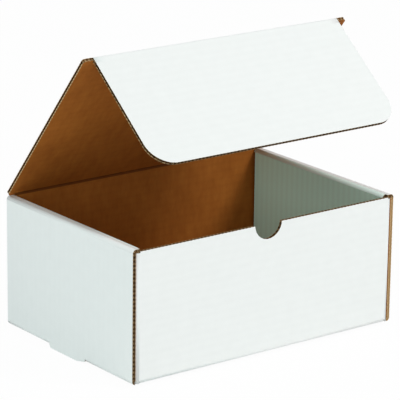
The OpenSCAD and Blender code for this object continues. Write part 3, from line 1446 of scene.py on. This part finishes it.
@dataclass
class Leaf:
    """What the lid and the tuck flap share: an open-fluted panel that turns on a crease.

    Attributes:
        sizes: The box's sizes.
        board: The board.
        tones: How dark its raw edges are.
        crease_reach: How far the crease's own piece reaches into the panel.
        paper_inset: How far the wavy paper stays behind the liners' cut edges.
    """

    sizes: BoxSizes
    board: Board
    tones: EdgeTones
    crease_reach: float = 4.0
    paper_inset: float = 0.35

    def directions(self) -> tuple[Vector, Vector, Vector, Vector]:
        """Gives the panels' directions as the box stands open.

        Returns:
            The way from the hinge into the lid, the way the lid's white face looks, the way from
            the crease into the tuck flap, and the way the flap's white face looks.
        """
        a = math.radians(self.sizes.lid_open)
        lid = Vector((0, -math.cos(a), math.sin(a)))
        lid_out = Vector((0, math.sin(a), math.cos(a)))
        return lid, lid_out, -lid_out, lid.copy()

    def apex(self) -> Vector:
        """Gives a point of the tuck flap's crease line."""
        return self.sizes.hinge + self.directions()[0] * self.sizes.lid_l

    def dress(self, piece: bpy.types.Object, body: str, node: str | None = None) -> None:
        """Makes a piece ride on a body, and stand for a solid if one is named.

        Args:
            piece: The piece.
            body: The body.
            node: The solid.
        """
        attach(piece, body)
        if node:
            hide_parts(node)

    def crease(
        self,
        finishes: Finishes,
        name: str,
        line: Vector,
        before: tuple[Vector, Vector],
        after: tuple[Vector, Vector],
        half: float,
    ) -> bpy.types.Object:
        """Builds the sheet through a crease.

        Args:
            finishes: The materials.
            name: The piece's name.
            line: A point of the crease line, at mid thickness.
            before: The way from the crease into the panel before it, and the way that panel's
                white face looks.
            after: The same for the panel after it.
            half: Half length of the crease.

        Returns:
            The piece.
        """
        (way0, out0), (way1, out1) = before, after
        r, reach = self.board.thickness / 2, self.crease_reach
        turn = math.acos(max(-1.0, min(1.0, out0.dot(out1))))
        # The brown faces meet in a sharp inner corner this far from the crease line.
        meet = r * math.tan(turn / 2)
        flats, steps = 5, 8
        path: list[tuple[Vector, Vector]] = []
        for i in range(flats + 1):
            share = i / flats
            outer = line + way0 * (reach * (1 - share)) + out0 * r
            inner = line + way0 * (reach + (meet - reach) * share) - out0 * r
            path.append((outer, inner))
        corner = path[-1][1]
        for i in range(1, steps):
            a = turn * i / steps
            way = (out0 * math.sin(turn - a) + out1 * math.sin(a)) / math.sin(turn)
            path.append((line + way * r, corner))
        for i in range(flats + 1):
            share = i / flats
            outer = line + way1 * (reach * share) + out1 * r
            inner = line + way1 * (meet + (reach - meet) * share) - out1 * r
            path.append((outer, inner))
        sheet = SheetMesh(self.board)
        sheet.skin(path, half)
        return sheet.finish(name, finishes.sheet())


@dataclass
class Lid(Leaf):
    """Lid panel, with open flutes at its left and right edges.

    Attributes:
        ear: How far its raw corners reach past the tuck flap's crease line.
        hinge_ear: How far they reach past the hinge line.
        nose: Radius of its raw corners.
        nose_steps: Number of steps round one.
        flutes: Number of flutes in it.
        bend: Meant as how far from the hinge line the crease stops bending; not used.
    """

    ear: float = 0.6
    hinge_ear: float = 0.45
    nose: float = 2.2
    nose_steps: int = 6
    flutes: int = 24
    bend: float = 2.5

    def plane(self) -> Plane:
        """Gives the lid's place: zero on the hinge line's white face."""
        lid, out, _, _ = self.directions()
        return Plane(self.sizes.hinge + out * (self.board.thickness / 2), X, lid, out)

    def outline(self) -> list[Side]:
        """Gives the lid's outline.

        Returns:
            The sides, in order.
        """
        s, nose, n = self.sizes, self.nose, self.nose_steps
        w, c, r, f, end = s.lid_half, s.throat, self.crease_reach, s.flap_half, s.lid_l
        tip, heel = end + self.ear, -self.hinge_ear
        top, low, x = tip - nose, heel + nose, w - nose
        return [
            Side([(-c, r), (c, r)], Cut.FOLD),
            Side([(c, r), (c, heel), *rounded((x, low), nose, 270, 360, n)], Cut.ALONG),
            Side([(w, low), (w, top)], Cut.ACROSS),
            Side([*rounded((x, top), nose, 0, 90, n), (f, tip), (f, end - r)], Cut.ALONG),
            Side([(f, end - r), (-f, end - r)], Cut.FOLD),
            Side([(-f, end - r), (-f, tip), *rounded((-x, top), nose, 90, 180, n)], Cut.ALONG),
            Side([(-w, top), (-w, low)], Cut.ACROSS),
            Side([*rounded((-x, low), nose, 180, 270, n), (-c, heel), (-c, r)], Cut.ALONG),
        ]

    def build(self, finishes: Finishes) -> list[bpy.types.Object]:
        """Builds the lid's liners, its wavy paper and the crease on the back wall.

        Args:
            finishes: The materials.

        Returns:
            The three pieces.
        """
        s = self.sizes
        sheet = SheetMesh(self.board)
        sheet.edge_tone = self.tones.lid
        sheet.panel(self.plane(), self.outline(), hollow=True)
        liners = sheet.finish("lid_liners", finishes.sheet())
        self.dress(liners, "lid", "lid_panel")
        start = (s.lid_l - self.flutes * self.board.flute_pitch) / 2
        half = s.lid_half - self.paper_inset
        fluting = Fluting(self.plane(), start, self.flutes, half, 0.0, s.lid_l, self.board)
        waves = fluting.build("lid_fluting", finishes.medium)
        self.dress(waves, "lid")
        lid, lid_out, _, _ = self.directions()
        after = (lid, lid_out)
        skin = self.crease(finishes, "hinge_crease", s.hinge, (-Z, Y), after, s.throat)
        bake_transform(skin)
        return [liners, waves, skin]


@dataclass
class TuckFlap(Leaf):
    """Tuck flap with two rounded corners, with open flutes at its left and right edges.

    Attributes:
        flutes: Number of flutes in it.
        paper_end: How far the last flute ends before the free edge.
        bend: Meant as how far from the crease line the crease stops bending; not used.
    """

    flutes: int = 14
    paper_end: float = 1.6
    bend: float = 2.0

    def plane(self) -> Plane:
        """Gives the flap's place: zero on its crease line's white face."""
        _, _, flap, out = self.directions()
        return Plane(self.apex() + out * (self.board.thickness / 2), X, flap, out)

    def outline(self) -> list[Side]:
        """Gives the flap's outline; its corners turn from open flutes to a closed edge.

        Returns:
            The sides, in order.
        """
        s = self.sizes
        f, r, end, radius = s.flap_half, self.crease_reach, s.flap_l, s.flap_corner_r
        # Each corner is cut across the flutes up to the split, and along them after it.
        steps, split = 30, 24
        right = rounded((f - radius, end - radius), radius, 0, 90, steps)
        left = rounded((radius - f, end - radius), radius, 90, 180, steps)
        return [
            Side([(-f, r), (f, r)], Cut.FOLD),
            Side([(f, r), *right[: split + 1]], Cut.ACROSS),
            Side([*right[split:], *left[: steps - split + 1]], Cut.ALONG),
            Side([*left[steps - split :], (-f, r)], Cut.ACROSS),
        ]

    def build(self, finishes: Finishes) -> list[bpy.types.Object]:
        """Builds the flap's liners, its wavy paper and the crease on the lid.

        Args:
            finishes: The materials.

        Returns:
            The three pieces.
        """
        s, inset = self.sizes, self.paper_inset
        sheet = SheetMesh(self.board)
        sheet.edge_tone = self.tones.flap
        sheet.panel(self.plane(), self.outline(), hollow=True)
        liners = sheet.finish("flap_liners", finishes.sheet())
        self.dress(liners, "flap", "tuck_flap")
        start = s.flap_l - self.paper_end - self.flutes * self.board.flute_pitch
        half, radius = s.flap_half - inset, s.flap_corner_r - inset
        far = s.flap_l - inset
        fluting = Fluting(self.plane(), start, self.flutes, half, radius, far, self.board)
        waves = fluting.build("flap_fluting", finishes.medium)
        self.dress(waves, "flap")
        lid, lid_out, flap, flap_out = self.directions()
        line, before, after = self.apex(), (-lid, lid_out), (flap, flap_out)
        skin = self.crease(finishes, "tuck_crease", line, before, after, s.flap_half)
        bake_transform(skin)
        return [liners, waves, skin]


# The studio.


@dataclass(frozen=True)
class Softbox:
    """A soft square lamp that looks at the box.

    Attributes:
        name: Its name.
        place: Where it stands, in metres.
        size: Its side, in metres.
        power: Its power, in watts.
        tint: Its colour.
        aim: The point that it looks at, in metres.
    """

    name: str
    place: tuple[float, float, float]
    size: float
    power: float
    tint: str
    aim: tuple[float, float, float] = (0.0, 0.0, 0.08)

    def build(self) -> None:
        """Puts the lamp in the scene."""
        data = bpy.data.lights.new(self.name, "AREA")
        data.size, data.energy, data.color = self.size, self.power, srgb(self.tint)[:3]
        lamp = put_in_scene(self.name, data)
        lamp.location = self.place
        away = Vector(self.place) - Vector(self.aim)
        lamp.rotation_euler = away.to_track_quat("Z", "Y").to_euler()


@dataclass
class Studio:
    """Plain pale floor, white backdrop, soft light, and the camera at the photograph's angle.

    Attributes:
        yaw: Camera's turn to the right, in radians.
        pitch: Its tilt down.
        roll: Its roll.
        focal_px: Focal length in pixels of a picture picture_px wide.
        picture_px: Width of the photograph.
        shift_r: Camera's offset to the right, in millimetres.
        shift_u: Its offset upwards.
        distance: Its distance from the box's origin, along its view.
        ground: Height of the foot lips' underside.
        floor_gap: How far the floor lies below that, so that no faces coincide.
        floor_half: Half width of the floor, in metres.
        paper: Colour of the floor's paper.
        shown_white: Share of plain white in the floor as the camera sees it.
        room: Colour of the room's even light.
        room_strength: Its strength.
        lamps: The lamps.
    """

    yaw: float = 0.653
    pitch: float = 0.293
    roll: float = 0.013
    focal_px: float = 2583.9
    picture_px: int = 400
    shift_r: float = 0.504
    shift_u: float = 94.42
    distance: float = 1999.7
    ground: float = -2.3
    floor_gap: float = 0.05
    floor_half: float = 12.0
    paper: str = "f6f7f7"
    shown_white: float = 0.965
    room: str = "f1f5f6"
    room_strength: float = 0.6
    lamps: tuple[Softbox, ...] = (
        Softbox("key_softbox", (1.05, -1.6, 1.75), 0.7, 24.0, "fffbf8"),
        Softbox("fill_softbox", (-2.6, -0.75, 1.1), 1.4, 21.0, "e2f5f1"),
    )

    def camera(self) -> None:
        """Makes the camera."""
        cy, sy = math.cos(self.yaw), math.sin(self.yaw)
        cp, sp = math.cos(self.pitch), math.sin(self.pitch)
        view = Vector((sy * cp, cy * cp, -sp))
        right = Vector((cy, -sy, 0))
        up = right.cross(view)
        c, s = math.cos(self.roll), math.sin(self.roll)
        right, up = right * c + up * s, up * c - right * s
        data = bpy.data.cameras.new("camera")
        data.sensor_width = 36.0
        data.lens = self.focal_px / self.picture_px * data.sensor_width
        data.clip_start, data.clip_end = 0.05, 60.0
        camera = put_in_scene("camera", data)
        place = (right * self.shift_r + up * self.shift_u - view * self.distance) * MM
        turn = Matrix((right, up, -view)).transposed().to_4x4()
        camera.matrix_world = Matrix.Translation(place) @ turn
        bpy.context.scene.camera = camera

    def floor(self) -> None:
        """Makes the floor: white to the camera, with a trace of the box's shadow."""
        # Seamless white studio paper: matt, and bright enough to read as the backdrop.
        material, node = start_material("studio_paper", 0.95, 0.0)
        tree = material.node_tree
        shader = tree.nodes["Principled BSDF"]
        shader.inputs["Base Color"].default_value = srgb(self.paper)
        white = node("ShaderNodeEmission", {"Color": srgb("ffffff"), "Strength": 1.0})
        path = node("ShaderNodeLightPath").outputs
        rays = {0: path["Is Camera Ray"], 1: path["Is Glossy Ray"]}
        seen = node("ShaderNodeMath", rays, operation="MAXIMUM")
        share = node("ShaderNodeMath", {0: seen, 1: self.shown_white}, operation="MULTIPLY")
        mixed = node("ShaderNodeMixShader", {0: share, 1: shader, 2: white})
        tree.links.new(mixed.outputs[0], tree.nodes["Material Output"].inputs["Surface"])
        data = bpy.data.meshes.new("studio_floor")
        size, z = self.floor_half, (self.ground - self.floor_gap) * MM
        corners = [(-size, -size, z), (size, -size, z), (size, size, z), (-size, size, z)]
        data.from_pydata(corners, [], [(0, 1, 2, 3)])
        data.materials.append(material)
        put_in_scene("studio_floor", data)

    def world(self) -> None:
        """Makes the backdrop, white to the camera, and the room's even light."""
        world = bpy.data.worlds.new("studio")
        world.use_nodes = True
        tree = world.node_tree
        node = partial(add_node, tree)
        room = tree.nodes["Background"]
        room.inputs["Color"].default_value = srgb(self.room)
        room.inputs["Strength"].default_value = self.room_strength
        white = node("ShaderNodeBackground", {"Color": srgb("ffffff"), "Strength": 1.0})
        path = node("ShaderNodeLightPath").outputs
        rays = {0: path["Is Camera Ray"], 1: path["Is Transmission Ray"]}
        seen = node("ShaderNodeMath", rays, operation="MAXIMUM")
        mixed = node("ShaderNodeMixShader", {0: seen, 1: room, 2: white})
        tree.links.new(mixed.outputs[0], tree.nodes["World Output"].inputs["Surface"])
        bpy.context.scene.world = world

    def build(self) -> None:
        """Sets up the whole studio."""
        self.camera()
        self.floor()
        self.world()
        for lamp in self.lamps:
            lamp.build()
        bpy.context.scene.view_settings.view_transform = "Standard"


def main() -> None:
    """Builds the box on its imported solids, then the studio."""
    logging.basicConfig(level=logging.INFO, format="%(name)s: %(message)s")
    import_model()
    Studio().build()
    given = (BoxSizes(), Board(), EdgeTones())
    finishes = Finishes()
    pieces = [Tray(*given).build(finishes)]
    pieces += Lid(*given).build(finishes)
    pieces += TuckFlap(*given).build(finishes)
    for piece in pieces:
        LOG.info("%s: %d faces", piece.name, len(piece.data.polygons))


if __name__ == "__main__":
    main()
